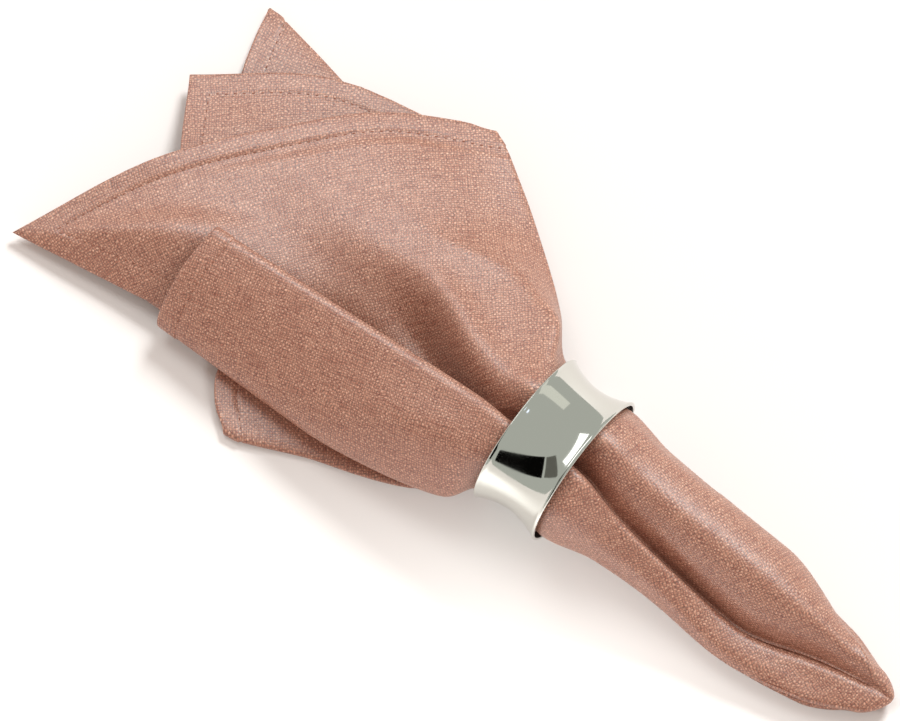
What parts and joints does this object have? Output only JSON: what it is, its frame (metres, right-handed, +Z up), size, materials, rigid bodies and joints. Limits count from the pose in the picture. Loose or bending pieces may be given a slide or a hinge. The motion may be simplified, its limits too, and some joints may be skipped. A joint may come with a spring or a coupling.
{
  "type": "cloth napkin in a ring",
  "caption": "Square cloth napkin pinched at its middle and drawn through a waisted metal ring, its gathered middle a closed rounded tail and its corners fanned out behind in layers.",
  "frame": {"origin": "on the table, under the middle of the whole piece", "axes": "+X along the ring's axis towards the closed tail, -X towards the fanned corners, +Z up from the table"},
  "size_m": [0.2706, 0.113, 0.0459],
  "materials": {
    "linen": "matt plain weave with thick and thin threads, dusty rose",
    "steel": "polished"
  },
  "bodies": {
    "root": {"napkin": "linen", "napkin_ring": "steel"}
  },
  "joints": []
}
